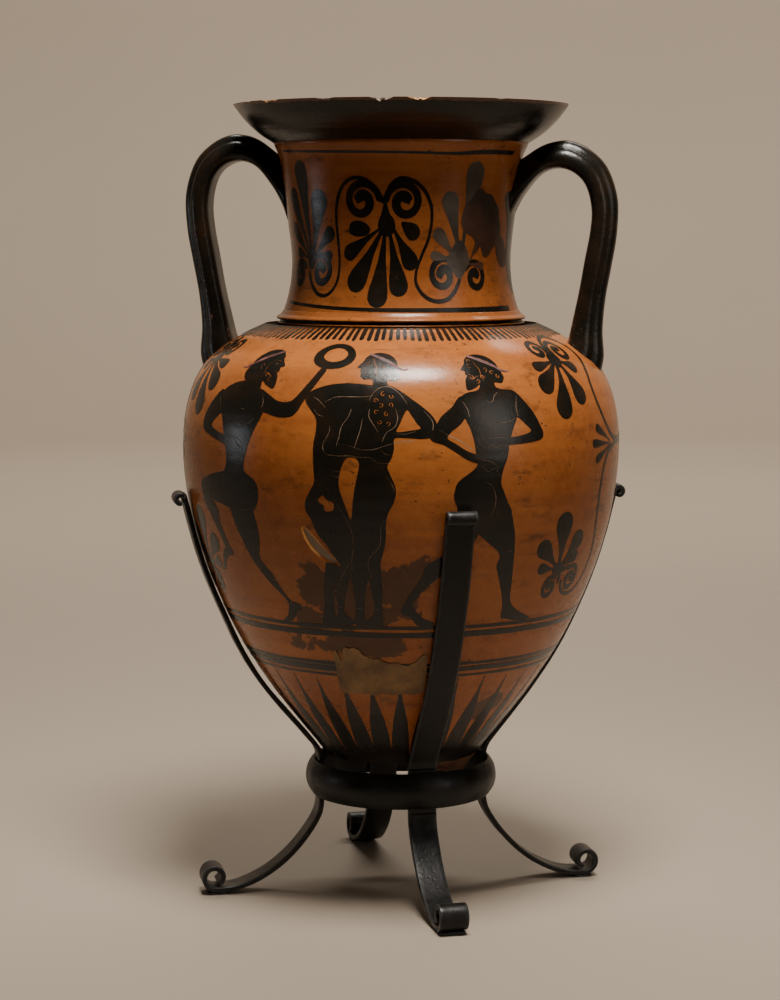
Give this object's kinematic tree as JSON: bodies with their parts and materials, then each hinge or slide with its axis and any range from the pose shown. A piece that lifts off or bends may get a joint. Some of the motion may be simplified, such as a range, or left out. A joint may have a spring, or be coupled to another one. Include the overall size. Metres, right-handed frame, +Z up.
{
  "type": "neck amphora in a forged stand",
  "caption": "Painted two-handled clay jar with a flaring mouth and no foot, resting in a black forged cradle of flat straps and a hoop.",
  "frame": {"origin": "on the table under the vessel's axis, at the bottom centre of the bounding box", "axes": "+Z up, the two handles along X, the painted side with the label towards -Y"},
  "size_m": [0.1838, 0.182, 0.328],
  "materials": {
    "clay": "burnished, satin, with ochre wash",
    "slip": "black slip with a low gloss",
    "added_red": "matt dull red over the slip",
    "bare_clay": "unpainted, matt",
    "iron": "forged, waxed black, satin",
    "braze": "dull, blackened",
    "felt": "matt felt",
    "paper": "aged, torn, matt"
  },
  "bodies": {
    "stand": {"hoop": "iron", "strap_front": "iron", "strap_right": "iron", "strap_back": "iron", "strap_left": "iron", "braze_joints": "braze", "foot_pad_front": "felt", "foot_pad_right": "felt", "foot_pad_back": "felt", "foot_pad_left": "felt"},
    "amphora": {"belly": "clay", "neck": "clay", "neck_ring": "clay", "mouth": "slip", "handle_left": "slip", "handle_right": "slip", "paper_label": "paper"}
  },
  "joints": [
    {"name": "amphora_lift", "type": "slide", "parent": "stand", "child": "amphora", "axis": [0, 0, 1], "range_m": [0, 0.13]}
  ]
}
